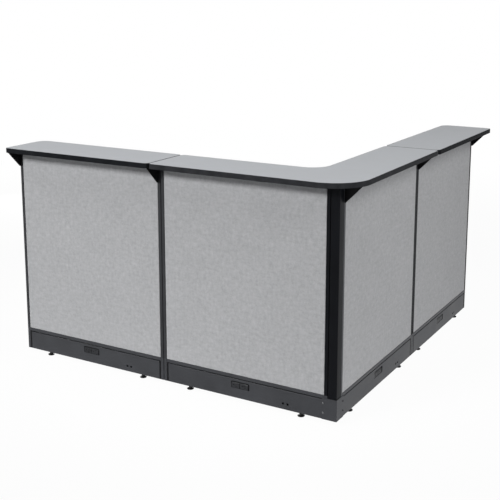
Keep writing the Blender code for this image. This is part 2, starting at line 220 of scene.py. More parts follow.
def add_piece(name, shell, material, body="station", stands_for=(), smooth=True):
    """Make one piece of the station from a shell, riding on its body and standing for its nodes."""
    points, faces = shell
    mesh = bpy.data.meshes.new(name)
    mesh.from_pydata(points.tolist(), [], faces)
    if smooth:
        mesh.shade_smooth()
        mesh.set_sharp_from_angle(angle=SMOOTH_BELOW)
    mesh.materials.append(material)
    piece = bpy.data.objects.new(name, mesh)
    bpy.context.scene.collection.objects.link(piece)
    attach(piece, body)
    if stands_for:
        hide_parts(*stands_for)
    return piece


def face_out(piece):
    """Turn every face of a closed piece outwards."""
    shape = bmesh.new()
    shape.from_mesh(piece.data)
    bmesh.ops.recalc_face_normals(shape, faces=shape.faces)
    shape.to_mesh(piece.data)
    shape.free()


def tube(across, low, high, along):
    """A rounded rectangle, across by the panel's thickness, carried from low to high along up or right."""
    sides = (TUBE_SIDE_STEPS, TUBE_SIDE_STEPS)
    loop = rounded_rim((across[0], 0), (across[1], panel_thickness), TUBE_CORNER, sides, TUBE_TURN_STEPS)
    order = {"up": (0, 1, 2), "right": (2, 1, 0)}[along]
    return skinned(upright(loop, (low, high))[..., order])


def stile_pair(low, high):
    """The left and right uprights of a panel between two heights."""
    return {"left": tube((-outer, -inner), low, high, "up"), "right": tube((inner, outer), low, high, "up")}


frame_low, frame_high = box_of("left_end_frame")
board_low, board_high = box_of("left_end_public_board")
panel_width, panel_thickness = (frame_high - frame_low)[:2]
base_bottom, panel_top = frame_low[2], frame_high[2]
window_width = board_high[0] - board_low[0] + 2 * FIT_GAP
window_bottom, window_top = board_low[2] - FIT_GAP, board_high[2] + FIT_GAP
outer, inner = panel_width / 2, window_width / 2
frame_paint_and_shade = {run: powder_coat(f"{run}_run_charcoal_and_painted_shade_coat", tone, roughness=0.45,
                                specular=CHARCOAL_SPECULAR[run])
               for run, tone in CHARCOAL_AND_RIGHT_SHADE.items()}
stiles = stile_pair(window_bottom, panel_top)
top_rail = tube((window_top, panel_top), -inner, inner, "right")
for panel in PANELS:
    run = panel.split("_")[0]
    tubes = [stile for side, stile in stiles.items() if POST_STILES.get(panel) != side]
    shell = stood(joined(tubes + [top_rail]), panel)
    face_out(add_piece(panel + "_frame_tubes", shell, frame_paint_and_shade[run],
                       stands_for=[panel + "_frame"]))

# Lower rails
# The tube that closes each frame above its base is welded between the stiles' lower ends, which go on down to
# the base's underside. Rail and ends have the lighter grey powder coat of the base.
COVER_GREY = (0.0350, 0.0366, 0.0413)
cover_paint = powder_coat("cover_powder_coat", COVER_GREY, roughness=0.45, specular=0.23)
lower_rail_bottom = box_of("left_end_base_channel")[1][2] + FIT_GAP
lower_rail = tube((lower_rail_bottom, window_bottom), -inner, inner, "right")
lower_tubes = joined([*stile_pair(base_bottom, window_bottom).values(), lower_rail])
for panel in PANELS:
    shell = stood(lower_tubes, panel)
    face_out(add_piece(panel + "_lower_rail", shell, cover_paint))

# Base channels and connector bars
# A bent steel channel under each panel carries the feet, the wiring and the covers, and flat bars in the
# joints draw the uprights together. Both are painted, and little of them shows. The channel is coloured
# near-black as painted shade, so its inside reads dark through the ports and the gaps.
# Near-black of the channel: painted shade for the dark inside of the base.
CHANNEL_PAINTED_SHADE = (0.005, 0.005, 0.006)
CONNECTOR_GREY = (0.030, 0.031, 0.034)
EASED_EDGE = 0.0005
EASE_SEGMENTS = 2
EASE_ABOVE = np.radians(40)
WELD_WITHIN = 1e-5
channel_shade_paint = powder_coat("channel_painted_shade_paint", CHANNEL_PAINTED_SHADE, roughness=0.5, specular=0.1)
connector_paint = powder_coat("joint_grey_paint", CONNECTOR_GREY, roughness=0.5, specular=0.2)


def finish_node(name, material):
    """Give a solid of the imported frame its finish, with its points welded and its edges eased."""
    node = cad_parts[name]
    node.data.materials.clear()
    node.data.materials.append(material)
    weld = node.modifiers.new("weld", "WELD")
    weld.merge_threshold = WELD_WITHIN
    ease = node.modifiers.new("ease", "BEVEL")
    ease.width = EASED_EDGE
    ease.segments = EASE_SEGMENTS
    ease.limit_method = "ANGLE"
    ease.angle_limit = EASE_ABOVE


for panel in PANELS:
    finish_node(panel + "_base_channel", channel_shade_paint)
for joint in ("left_panel", "left_post", "right_post", "right_panel"):
    finish_node(joint + "_connector", connector_paint)

# Levelling feet
# A black-coated steel glide on a threaded stud that screws up into the base. The glide flares from a neck to
# a round foot with a rolled edge, and the stud's thread shows when the foot is screwed out.
FEET = [f"{panel}_{side}_foot" for panel in PANELS for side in ("left", "right")]
FOOT_BLACK = (0.005, 0.005, 0.005)
THREAD_PITCH = 0.00125
THREAD_DEPTH = 0.0006
THREAD_ROWS = 8
STUD_RADIUS = 0.004
STUD_COLUMNS = 24
NECK_RADIUS = 0.0082
RIM_RADIUS = 0.003
FLARE_SHARE = 0.5
GLIDE_STEPS = 9
GLIDE_COLUMNS = 40


def turned(radii, heights, columns):
    """A profile turned about the upright axis: every ring has its own radius and height."""
    angle = np.linspace(0, 2 * np.pi, columns, endpoint=False)
    radii = np.broadcast_to(np.reshape(radii, (len(heights), -1)), (len(heights), columns))
    heights = np.broadcast_to(np.reshape(heights, (-1, 1)), radii.shape)
    return np.stack([radii * np.cos(angle), radii * np.sin(angle), heights], -1)


def glide_shell(foot_radius, neck_top):
    """Glide profile from the floor up: a half-round rim, a flare that sweeps in to the neck, and the neck."""
    roll = np.linspace(-np.pi / 2, np.pi / 2, GLIDE_STEPS)
    sweep = np.linspace(0, np.pi / 2, GLIDE_STEPS)[1:]
    rim_centre = foot_radius - RIM_RADIUS
    rim_top = 2 * RIM_RADIUS
    flare_top = rim_top + FLARE_SHARE * (neck_top - rim_top)
    radii = np.concatenate([rim_centre + RIM_RADIUS * np.cos(roll),
                            rim_centre + (NECK_RADIUS - rim_centre) * np.sin(sweep), [NECK_RADIUS]])
    heights = np.concatenate([RIM_RADIUS * (1 + np.sin(roll)),
                              rim_top + (flare_top - rim_top) * (1 - np.cos(sweep)), [neck_top]])
    return skinned(turned(radii, heights, GLIDE_COLUMNS))


def stud_shell(low, high):
    """Threaded stud: a radius that falls from the crest as a triangle wave along the height less the turn."""
    heights = np.linspace(low, high, int((high - low) / THREAD_PITCH * THREAD_ROWS))
    turn = np.linspace(0, 1, STUD_COLUMNS, endpoint=False)
    wave = np.abs(2 * ((heights[:, None] / THREAD_PITCH - turn) % 1) - 1)
    return skinned(turned(STUD_RADIUS - THREAD_DEPTH * wave, heights, STUD_COLUMNS))


foot_coating = powder_coat("black_foot_coating", FOOT_BLACK, roughness=0.5, specular=0.2)
neck_top = base_bottom - FIT_GAP
for foot in FEET:
    foot_low, foot_high = box_of(foot)
    centre = (foot_low + foot_high) / 2 * (1, 1, 0)
    points, faces = joined([glide_shell((foot_high - foot_low)[0] / 2, neck_top),
                            stud_shell(neck_top - THREAD_PITCH, foot_high[2])])
    face_out(add_piece(foot + "_glide", (points + centre, faces), foot_coating,
                       body=foot, stands_for=[foot]))

# Power modules
# Behind each pair of outlet openings sits a moulded power module. Its nose reaches into the opening on
# both faces and is coloured black, as painted shade for the dark gap round the receptacles. Two
# receptacles lie side by side on it, each with two blade slots and an earth hole.
SIDES = ("public", "staff")
# Black of the nose: painted shade for the gap between the receptacles and the opening.
NOSE_PAINTED_SHADE = (0.004, 0.004, 0.005)
RECEPTACLE_GREY = (0.031, 0.032, 0.035)
OUTLET_RISE = 0.068
OUTLET_OFFSET = -0.009
RECEPTACLE_SIZE = np.array((0.0470, 0.0290))
RECEPTACLE_SPACING = 0.0490
# The receptacles sit low and to the left, so more of the nose's painted shade shows at the top and right.
RECEPTACLE_SHIFT = np.array((-0.0037, -0.0028))
RECEPTACLE_ROLL = 0.0022
RECEPTACLE_LEAN = 0.0018
RECEPTACLE_PROUD = 0.0027
RECEPTACLE_WALL = 0.0012
LEAN_HEIGHT = 0.0055
EARTH_CENTRE = np.array((-0.0095, 0.0))
EARTH_SIZE = np.array((0.0056, 0.0056))
EARTH_CELL_EDGE = -0.0030
BLADE_CENTRES = [np.array((0.0045, rise)) for rise in (-0.0062, 0.0062)]
BLADE_SIZE = np.array((0.0082, 0.0024))
BLADE_CORNER = 0.0006
ROLL_STEPS = 6
CELL_STEPS = 16
CELL_TURN_STEPS = 3
RING_SHARES = np.array((0.0, 0.45, 0.8, 1.0))
PLASTIC_TONE_SWING = 0.2
PLASTIC_GLOSS_SWING = 0.06
PLASTIC_GRAIN_STRENGTH = 0.2
PLASTIC_GRAIN_DEPTH = 0.0002


def even_rim(low, high, steps):
    """Loop round a plain rectangle, anticlockwise from its lower left corner, evenly stepped on each side."""
    along, up = (np.arange(count) / count for count in steps)
    unit = np.concatenate([np.stack([along, 0 * along], -1), np.stack([0 * up + 1, up], -1),
                           np.stack([1 - along, 0 * along + 1], -1), np.stack([0 * up, 1 - up], -1)])
    return np.array(low) + unit * (np.array(high) - np.array(low))


def plain_cell(low, high, steps):
    """Flat rectangle as an even grid, given as right and up."""
    right, up = (np.linspace(a, b, count + 1) for a, b, count in zip(low, high, steps))
    grid = np.stack(np.meshgrid(right, up), -1)
    return grid.reshape(-1, 2), quads(len(up), len(right))


def punched_cell(low, high, centre, size, radii, steps):
    """Flat rectangle with an opening: rings of quads that run straight from its rim to the opening's rim."""
    rim = even_rim(low, high, steps)
    opening = rounded_rim(centre - size / 2, centre + size / 2, radii, steps, CELL_TURN_STEPS)
    rings = rim + (opening - rim) * RING_SHARES[:, None, None]
    return rings.reshape(-1, 2), quads(len(RING_SHARES), len(rim), wrap=True)


def welded(shell):
    """A shell whose points that coincide, to a micrometre, are made one."""
    points, faces = shell
    _, first, number = np.unique(np.round(points, 6), axis=0, return_index=True, return_inverse=True)
    number = number.ravel()
    return points[first], [number[face].tolist() for face in faces]


def thicken(piece, thickness):
    """Give a surface its sheet thickness, inwards from the face that shows."""
    wall = piece.modifiers.new("sheet", "SOLIDIFY")
    wall.thickness = thickness
    wall.offset = -1
    wall.use_even_offset = True


def receptacle_shell():
    """One receptacle as right, setback and up: a face of an earth cell beside two blade cells, which leans
    back by a square law along its top, and a skirt that leaves the face's rim, turns through a quarter arc
    outwards and back, and runs straight to the nose."""
    half = RECEPTACLE_SIZE / 2 - RECEPTACLE_ROLL
    edge = EARTH_CELL_EDGE
    cells = [punched_cell(-half, (edge, half[1]), EARTH_CENTRE, EARTH_SIZE, EARTH_SIZE[0] / 2,
                          (CELL_STEPS, 2 * CELL_STEPS))]
    for centre, (low, high) in zip(BLADE_CENTRES, ((-half[1], 0), (0, half[1]))):
        cells.append(punched_cell((edge, low), (half[0], high), centre, BLADE_SIZE, BLADE_CORNER,
                                  (CELL_STEPS, CELL_STEPS)))
    face, faces = joined(cells)
    share = np.arange(CELL_STEPS) / CELL_STEPS
    along = np.concatenate([-half[0] + share * (edge + half[0]), edge + share * (half[0] - edge)])
    up = -half[1] + np.arange(2 * CELL_STEPS) / CELL_STEPS * half[1]
    rim = np.concatenate([np.stack([along, 0 * along - half[1]], -1), np.stack([0 * up + half[0], up], -1),
                          np.stack([np.append(along[1:], half[0]), 0 * along + half[1]], -1)[::-1],
                          np.stack([0 * up - half[0], -up], -1)])
    outward = np.sign(rim) * np.isclose(np.abs(rim), half)
    turn = np.append(np.linspace(0, np.pi / 2, ROLL_STEPS), np.pi / 2)[:, None]
    back = RECEPTACLE_ROLL * (1 - np.cos(turn))
    back[-1] = RECEPTACLE_PROUD
    skirt = rim[None, ::-1] + outward[None, ::-1] * RECEPTACLE_ROLL * np.sin(turn)[..., None]
    setback = np.broadcast_to(back[..., None], skirt[..., :1].shape)
    skirt = np.concatenate([skirt[..., :1], setback, skirt[..., 1:]], -1)
    skirt_shell = (skirt.reshape(-1, 3), quads(*skirt.shape[:2], wrap=True))
    flat = np.column_stack([face[:, 0], np.zeros(len(face)), face[:, 1]])
    points, faces = welded(joined([(flat, faces), skirt_shell]))
    lean = RECEPTACLE_LEAN * np.clip((points[:, 2] - half[1]) / LEAN_HEIGHT + 1, 0, 1) ** 2
    points[:, 1] = np.minimum(points[:, 1] + lean, RECEPTACLE_PROUD)
    return points, faces


def moulded_plastic(name, colour, roughness, specular, grain):
    """Moulded plastic: slight clouds of tone and gloss, and a fine spark-eroded grain."""
    material, tree, shader = new_finish(name, IOR=1.49, Specular_IOR_Level=specular)
    place = wire(tree, "ShaderNodeTexCoord").outputs["Object"]
    texture = noise(tree, place, scale=grain, detail=3.0)
    cloud = noise(tree, place, scale=24.0, detail=3.0)
    mottle(tree, shader, cloud, colour, PLASTIC_TONE_SWING, roughness, PLASTIC_GLOSS_SWING)
    emboss(tree, shader, texture, PLASTIC_GRAIN_STRENGTH, PLASTIC_GRAIN_DEPTH)
    return material


nose_shade_plastic = moulded_plastic("outlet_shade_plastic", NOSE_PAINTED_SHADE, roughness=0.5, specular=0.1, grain=900.0)
receptacle_plastic = moulded_plastic("receptacle_grey_plastic", RECEPTACLE_GREY, roughness=0.3, specular=0.07,
                                     grain=900.0)
cover_low, cover_high = box_of("left_end_public_cover")
cover_bottom = cover_low[2]
outlet_height = cover_bottom + OUTLET_RISE
nose_depth = box_of("left_end_power_module")[0][1] - frame_low[1]
receptacle, faces = receptacle_shell()
for panel in PANELS:
    finish_node(panel + "_power_module", nose_shade_plastic)
    for side in SIDES:
        pair = []
        for place in (-0.5, 0.5):
            lie = (OUTLET_OFFSET + RECEPTACLE_SHIFT[0] + place * RECEPTACLE_SPACING,
                   nose_depth - RECEPTACLE_PROUD, outlet_height + RECEPTACLE_SHIFT[1])
            pair.append(stood((receptacle + lie, faces), panel, side))
        piece = add_piece(f"{panel}_{side}_receptacles", joined(pair), receptacle_plastic,
                          smooth=False)
        thicken(piece, RECEPTACLE_WALL)

# Raceway covers
# The base is closed on both faces by covers folded from painted sheet, which snap on over the wiring. Each
# has a return along its top, a lip just above the channel's floor, an outlet opening and two data ports.
COVER_SHEET = 0.0016
COVER_FOLD = 0.002
COVER_RETURN = 0.003
COVER_LIP = 0.0028
COVER_TOP_EASE = 0.0012
FOLD_STEPS = 6
OUTLET_SIZE = np.array((0.105, 0.036))
OUTLET_RADII = (0.003, 0.003, 0.008, 0.008)
OUTLET_CELL = 0.125
PORT_SIZE = np.array((0.0120, 0.0120))
PORT_PITCH = 0.025
PORT_OFFSET = 0.244
PORT_RISE = 0.029
FACE_STEPS = 24
PLAIN_STEPS = 8

cover_half = (cover_high - cover_low)[0] / 2
cover_depth = cover_low[1] - frame_low[1]
face_top = cover_high[2] - COVER_TOP_EASE - COVER_FOLD
port_height = cover_bottom + PORT_RISE
cover_cuts = np.array((-cover_half, OUTLET_OFFSET - OUTLET_CELL / 2, OUTLET_OFFSET + OUTLET_CELL / 2,
                       PORT_OFFSET - PORT_PITCH, PORT_OFFSET, PORT_OFFSET + PORT_PITCH, cover_half))
cover_openings = {1: (np.array((OUTLET_OFFSET, outlet_height)), OUTLET_SIZE, OUTLET_RADII),
                  3: (np.array((PORT_OFFSET - PORT_PITCH / 2, port_height)), PORT_SIZE, PORT_SIZE[0] / 2),
                  4: (np.array((PORT_OFFSET + PORT_PITCH / 2, port_height)), PORT_SIZE, PORT_SIZE[0] / 2)}
cover_cells = list(enumerate(zip(cover_cuts, cover_cuts[1:])))


def cover_face():
    """Flat face of a cover: plain cells between the outlet's cell and the two port cells, edge to edge."""
    cells = []
    for number, (left, right) in cover_cells:
        low, high = (left, cover_bottom), (right, face_top)
        if number in cover_openings:
            cells.append(punched_cell(low, high, *cover_openings[number], (FACE_STEPS, FACE_STEPS)))
        else:
            cells.append(plain_cell(low, high, (PLAIN_STEPS, FACE_STEPS)))
    points, faces = joined(cells)
    return np.column_stack([points[:, 0], np.full(len(points), cover_depth), points[:, 1]]), faces


def cover_lips():
    """The top fold, an arc and a flat return carried along the cover, and the flat lip above the floor."""
    turn = np.linspace(0, np.pi / 2, FOLD_STEPS)
    depth = cover_depth + np.append(COVER_FOLD * (1 - np.cos(turn)), COVER_RETURN)
    height = face_top + COVER_FOLD * np.append(np.sin(turn), 1)
    runs = [np.linspace(left, right, FACE_STEPS if number in cover_openings else PLAIN_STEPS, endpoint=False)
            for number, (left, right) in cover_cells]
    right = np.append(np.concatenate(runs), cover_half)
    grid = (len(depth), len(right))
    fold = np.stack([np.broadcast_to(right, grid), np.broadcast_to(depth[:, None], grid),
                     np.broadcast_to(height[:, None], grid)], -1)
    lip_top = cover_bottom + COVER_LIP + COVER_SHEET
    lip = np.array([[(end, cover_depth + reach, lip_top) for end in (-cover_half, cover_half)]
                    for reach in (COVER_SHEET, COVER_RETURN)])
    return joined([(fold.reshape(-1, 3), quads(*grid)), (lip.reshape(-1, 3), quads(2, 2))])


cover_sheet = welded(joined([cover_face(), cover_lips()]))
for panel in PANELS:
    for side in SIDES:
        cover = f"{panel}_{side}_cover"
        piece = add_piece(cover + "_sheet", stood(cover_sheet, panel, side), cover_paint,
                          body=cover, stands_for=[cover], smooth=False)
        thicken(piece, COVER_SHEET)

# Fabric boards
# Fibre boards wrapped in woven heather cloth fill the frame's window on both faces. The cloth is drawn tight
# over a rolled edge and turned in along all four sides.
CLOTH_DARK = (0.300, 0.303, 0.312)
CLOTH_LIGHT = (0.510, 0.514, 0.525)
CLOTH_ROLL = 0.0025
CLOTH_TURN_IN = 0.009
CLOTH_THICKNESS = 0.0007
CLOTH_STEPS = 90
CLOTH_WAVE = 0.00012
WAVES_RIGHT = (57.0, 1.3, 21.0)
WAVES_UP = (43.0, 1.7, 17.0)
CUT_SPACING = 3.7
YARN = 0.0017
SLUB_SIZE = (0.014, 0.034)
FLECK_SIZE = (0.003, 0.012)
STREAK_BAND = (0.4, 1.6)
MID_TONE = 0.5
SLUB_TONE = 0.30
FLECK_TONE = 0.28
WEAVE_TONE = 0.10
DRIFT_TONE = 0.05
FLECK_HEIGHT = 0.6
WEAVE_STRENGTH = 0.35
WEAVE_DEPTH = 0.0003
board_depth = board_low[1] - frame_low[1]
board_width = board_high[0] - board_low[0]
board_height = board_high[2] - board_low[2]


def wrapped(size):
    """Flat distance across a cloth, and the place and setback it takes: straight over the board, a quarter
    turn round the rolled edge, then straight in along the side."""
    half = size / 2 - CLOTH_ROLL
    turn = np.linspace(0, np.pi / 2, ROLL_STEPS)[1:]
    edge_place = np.append(half + CLOTH_ROLL * np.sin(turn), size / 2)
    edge_setback = np.append(CLOTH_ROLL * (1 - np.cos(turn)), CLOTH_ROLL + CLOTH_TURN_IN)
    edge_flat = np.append(half + CLOTH_ROLL * turn, half + CLOTH_ROLL * np.pi / 2 + CLOTH_TURN_IN)
    middle = np.linspace(-half, half, CLOTH_STEPS)
    flat = np.concatenate([-edge_flat[::-1], middle, edge_flat])
    place = np.concatenate([-edge_place[::-1], middle, edge_place])
    setback = np.concatenate([edge_setback[::-1], 0 * middle, edge_setback])
    return flat, place, setback


def wandering(along, across, pitch, swing, cross_pitch):
    """Waves along one way whose phase swings across the other: the sine of pitch times along plus swing times
    the sine of cross pitch times across."""
    return np.sin(pitch * along + swing * np.sin(cross_pitch * across))


def cloth_shell():
    """Cloth over a board: each way it follows the wrap, the setbacks add, and long low waves cross its face.
    The third result is each point's place on the flat cut."""
    flat_right, right, back_right = wrapped(board_width)
    flat_up, up, back_up = wrapped(board_height)
    right, up = np.meshgrid(right, up)
    face = np.cos(np.pi * right / board_width) * np.cos(np.pi * up / board_height)
    wave = wandering(right, up, *WAVES_RIGHT) + wandering(up, right, *WAVES_UP)
    setback = board_depth + back_right[None, :] + back_up[:, None]
    setback = setback + CLOTH_WAVE * np.clip(face, 0, 1) * (1 + wave / 2)
    points = np.stack([right, setback, up + (board_low[2] + board_high[2]) / 2], -1)
    flats = np.stack(np.meshgrid(flat_right, flat_up), -1)
    return points.reshape(-1, 3), quads(*points.shape[:2]), flats.reshape(-1, 2)


def combine(tree, operation, *values):
    """The result of one Math node on values or sockets."""
    return wire(tree, "ShaderNodeMath", dict(enumerate(values)), operation=operation).outputs[0]


def woven_cloth(name, dark, light):
    """Plain weave of mixed yarns: crossing sine ribs for the yarns, and streaks along both for heather."""
    material, tree, shader = new_finish(name, Roughness=0.92, Sheen_Weight=0.05, Sheen_Roughness=0.5,
                                        Specular_IOR_Level=0.1)
    cut = wire(tree, "ShaderNodeUVMap", uv_map="cloth").outputs["UV"]

    def streaks(width, length):
        """Noise drawn out along the weft, added to the same along the warp."""
        ways = []
        for across, along in ((width, length), (length, width)):
            laid = wire(tree, "ShaderNodeMapping", {"Vector": cut, "Scale": (1 / across, 1 / along, 1)})
            ways.append(noise(tree, laid.outputs["Vector"], scale=1.0, detail=1.0))
        return combine(tree, "ADD", *ways)

    slubs = streaks(*SLUB_SIZE)
    flecks = streaks(*FLECK_SIZE)
    axis = wire(tree, "ShaderNodeSeparateXYZ", {"Vector": cut}).outputs
    turns = [combine(tree, "MULTIPLY", axis[way], 2 * np.pi / YARN) for way in ("X", "Y")]
    ribs = [combine(tree, "SINE", turn) for turn in turns]
    weave = combine(tree, "MULTIPLY", *ribs)
    tone = ranged(tree, slubs, *STREAK_BAND, MID_TONE - SLUB_TONE, MID_TONE + SLUB_TONE)
    tone = combine(tree, "ADD", tone, ranged(tree, flecks, *STREAK_BAND, -FLECK_TONE, FLECK_TONE))
    tone = combine(tree, "MULTIPLY_ADD", weave, WEAVE_TONE, tone)
    drift = noise(tree, cut, scale=6.0, detail=5.0)
    tone = combine(tree, "ADD", tone, ranged(tree, drift, *NOISE_BAND, -DRIFT_TONE, DRIFT_TONE))
    tree.links.new(shades(tree, tone, dark, light), shader.inputs["Base Color"])
    height = combine(tree, "MULTIPLY_ADD", flecks, FLECK_HEIGHT, weave)
    emboss(tree, shader, height, WEAVE_STRENGTH, WEAVE_DEPTH)
    return material


panel_fabric = woven_cloth("heather_cloth", CLOTH_DARK, CLOTH_LIGHT)
points, faces, flats = cloth_shell()
for number, (panel, side) in enumerate((panel, side) for panel in PANELS for side in SIDES):
    board = f"{panel}_{side}_board"
    piece = add_piece(board + "_cloth", stood((points, faces), panel, side), panel_fabric,
                      stands_for=[board])
    corner_of_loop = np.empty(len(piece.data.loops), int)
    piece.data.loops.foreach_get("vertex_index", corner_of_loop)
    layer = piece.data.uv_layers.new(name="cloth")
    cut = (flats + number * CUT_SPACING)[corner_of_loop]
    layer.data.foreach_set("uv", cut.ravel().astype(np.float32))
    thicken(piece, CLOTH_THICKNESS)

# Corner post
# A square steel post as thick as the panels stands where the runs meet. Its faces are slightly crowned, its
# edges are rolled and its paint is nearly black. The left run's stile beside it is coloured near-black like
# it, as painted shade, and the right run's the lighter base grey, as painted light.
POST_BLACK = (0.005, 0.0055, 0.007)
POST_CROWN = 0.0004
POST_EDGE = 0.0018
POST_STEPS = 24
POST_TURN_STEPS = 3
FLAT_WITHIN = 1e-6
post_low, post_high = box_of("corner_post")
half_post = (post_high - post_low)[:2] / 2 - POST_CROWN
loop = rounded_rim(-half_post, half_post, POST_EDGE, (POST_STEPS, POST_STEPS), POST_TURN_STEPS)
bulge = np.clip(1 - (loop[:, ::-1] / half_post) ** 2, 0, 1) * POST_CROWN
loop = loop + np.sign(loop) * np.where(np.abs(loop) > half_post - FLAT_WITHIN, bulge, 0)
loop = loop + (post_low + post_high)[:2] / 2
post_paint = powder_coat("post_black_paint", POST_BLACK, roughness=0.4, specular=0.05)
post_tube = skinned(upright(loop, (post_low[2], post_high[2])))
face_out(add_piece("corner_post_tube", post_tube, post_paint, stands_for=["corner_post"]))
# Left stile in the post's near-black: painted shade. Right stile in the base grey: painted light.
for panel, stile_light_and_shade in (("left_inner", post_paint), ("right_inner", cover_paint)):
    shell = stood(stiles[POST_STILES[panel]], panel)
    face_out(add_piece(panel + "_post_stile", shell, stile_light_and_shade))

# Corner base cover
# A plate bent to a right angle wraps the foot of the post and laps onto the base at each side. It is screwed
# on with two pan-head screws to a face: zinc on the left face, and on the right face coloured black as
# painted shade.
CORNER_BEND = 0.003
CORNER_SHEET = 0.0016
BEND_STEPS = 8
ZINC = (0.13, 0.135, 0.14)
SCREW_PAINTED_SHADE = (0.006, 0.006, 0.007)
SCREW_RADIUS = 0.0045
SCREW_HEIGHT = 0.0022
SCREW_SINK = 0.00055
SCREW_COLUMNS = 24
SCREW_RINGS = np.array((1.0, 1.0, 0.93, 0.8, 0.62, 0.45, 0.3, 0.15, 0.0))
DOME_FALL = 0.8
RECESS_ARM = 0.13
RECESS_REACH = 0.6
RECESS_DEPTH = 0.45
SCREW_RISES = (0.033, 0.080)
SCREW_INSET = 0.006
LEFT_SCREW_SPIN = 40.0
RIGHT_SCREW_SPIN = 60.0


def screw_head(centre, outward, spin):
    """Pan head with a cross recess: a domed disc whose height drops along the arms of a cross in its middle.
    Rings and recess are shares of the head's radius and height, and spin is the angle of the cross."""
    share = SCREW_RINGS[:, None]
    angle = np.linspace(0, 2 * np.pi, SCREW_COLUMNS, endpoint=False)
    dome = SCREW_HEIGHT * np.sqrt(1 - DOME_FALL * share ** 4)
    dome[0] = -SCREW_SINK
    arm = np.minimum(np.abs(np.sin(angle + spin)), np.abs(np.cos(angle + spin)))
    sunk = (share * arm < RECESS_ARM) & (share < RECESS_REACH)
    height = dome - RECESS_DEPTH * SCREW_HEIGHT * sunk
    across = np.cos(angle) * share * SCREW_RADIUS
    up = np.sin(angle) * share * SCREW_RADIUS
    outward = np.array(outward, float)
    helper = np.eye(3)[2] if abs(outward[2]) < 0.5 else np.eye(3)[0]
    side = np.cross(helper, outward)
    rings = np.array(centre) + across[..., None] * side + up[..., None] * np.cross(outward, side)
    return skinned(rings + height[..., None] * outward)


wrap_low, wrap_high = box_of("corner_base_cover")
turn = np.linspace(-np.pi / 2, 0, BEND_STEPS)
bend = CORNER_BEND * np.stack([np.cos(turn) - 1, np.sin(turn) + 1], -1) + (wrap_high[0], wrap_low[1])
path = np.concatenate([[wrap_low[:2]], bend, [wrap_high[:2]]])
wall = upright(path, (wrap_low[2], wrap_high[2]))
corner_plate = add_piece("corner_base_plate", (wall.reshape(-1, 3), quads(*wall.shape[:2])), cover_paint,
                         stands_for=["corner_base_cover"], smooth=False)
thicken(corner_plate, CORNER_SHEET)
screw_steel = powder_coat("screw_zinc", ZINC, roughness=0.3)
# The right face's screws take a black finish: painted shade.
shaded_screw_steel = powder_coat("screw_painted_shade", SCREW_PAINTED_SHADE, roughness=0.4, specular=0.2)
left_screws = []
right_screws = []
for rise in SCREW_RISES:
    height = wrap_low[2] + rise
    left_spot = (wrap_low[0] + SCREW_INSET, wrap_low[1], height)
    right_spot = (wrap_high[0], wrap_high[1] - SCREW_INSET, height)
    left_screws.append(screw_head(left_spot, (0, -1, 0), height * LEFT_SCREW_SPIN))
    right_screws.append(screw_head(right_spot, (1, 0, 0), height * RIGHT_SCREW_SPIN))
face_out(add_piece("corner_base_left_screws", joined(left_screws), screw_steel))
face_out(add_piece("corner_base_right_screws", joined(right_screws), shaded_screw_steel))

# Counter brackets
# Black folded-steel gussets are screwed to the stiles and up into the counter on both faces: five under the
# visitor's overhang, four on the staff side. Two screws hold each one's top flange.
BRACKET_PLACES = ("left_end", "left_joint", "corner", "right_joint", "right_end")
BRACKETS = [f"{place}_{side}_bracket" for place in BRACKET_PLACES for side in SIDES
            if (place, side) != ("corner", "staff")]
BRACKET_BLACK = (0.0025, 0.0025, 0.003)
BRACKET_SHEET = 0.003
FLANGE_SCREW_SHARES = (0.3, 0.75)
FLANGE_SCREW_SPIN = 9.0
bracket_paint = powder_coat("bracket_black_paint", BRACKET_BLACK, roughness=0.5, specular=0.1)
screws = []
for bracket in BRACKETS:
    finish_node(bracket, bracket_paint)
    low, high = box_of(bracket)
    reach = 1 if bracket.startswith("left") else 0
    for share in FLANGE_SCREW_SHARES:
        spot = (low + high) / 2
        spot[reach] = low[reach] + (high[reach] - low[reach]) * share
        spot[2] = high[2] - BRACKET_SHEET
        screws.append(screw_head(spot, (0, 0, -1), share * FLANGE_SCREW_SPIN))
face_out(add_piece("bracket_screws", joined(screws), screw_steel))

# Counter boards
# The counter is three boards of particle board faced with a fine-textured grey laminate, butted at seams
# close to the panel joints. The middle one turns the corner with a wide outer and a smaller inner curve.
LAMINATE_DARK = (0.447, 0.463, 0.486)
LAMINATE_LIGHT = (0.502, 0.519, 0.545)
SPECKLE_SHARE = 0.6
SPECKLE_BAND = (0.5, 1.1)
LAMINATE_ROUGHNESS = (0.46, 0.56)
PEBBLE_STRENGTH = 0.1
PEBBLE_DEPTH = 0.0002
END_RADIUS = 0.05
OUTER_RADIUS = 0.19
INNER_RADIUS = 0.1
CORNER_RADIUS = 0.026
BAND_THICKNESS = 0.003
ARC_STEPS = 40
counter_low, counter_high = box_of("corner_counter")
counter_depth = np.diff([corner[1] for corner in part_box("left_counter_band")])[0]


def bevelled_outline(corners, inset):
    """Right-angled outline, anticlockwise, moved in by inset, with a quarter arc at each (x, y, radius)."""
    spots = np.array(corners)[:, :2]
    radii = np.array(corners)[:, 2]
    back = np.roll(spots, 1, 0) - spots
    ahead = np.roll(spots, -1, 0) - spots
    back /= np.linalg.norm(back, axis=1, keepdims=True)
    ahead /= np.linalg.norm(ahead, axis=1, keepdims=True)
    out = np.sign(ahead[:, 0] * back[:, 1] - ahead[:, 1] * back[:, 0])
    spots = spots + (back + ahead) * (out * inset)[:, None]
    radii = radii - out * inset
    turn = np.linspace(0, np.pi / 2, ARC_STEPS)[None, :, None]
    arc = (back + ahead)[:, None] - ahead[:, None] * np.cos(turn) - back[:, None] * np.sin(turn)
    return (spots[:, None] + arc * radii[:, None, None]).reshape(-1, 2)


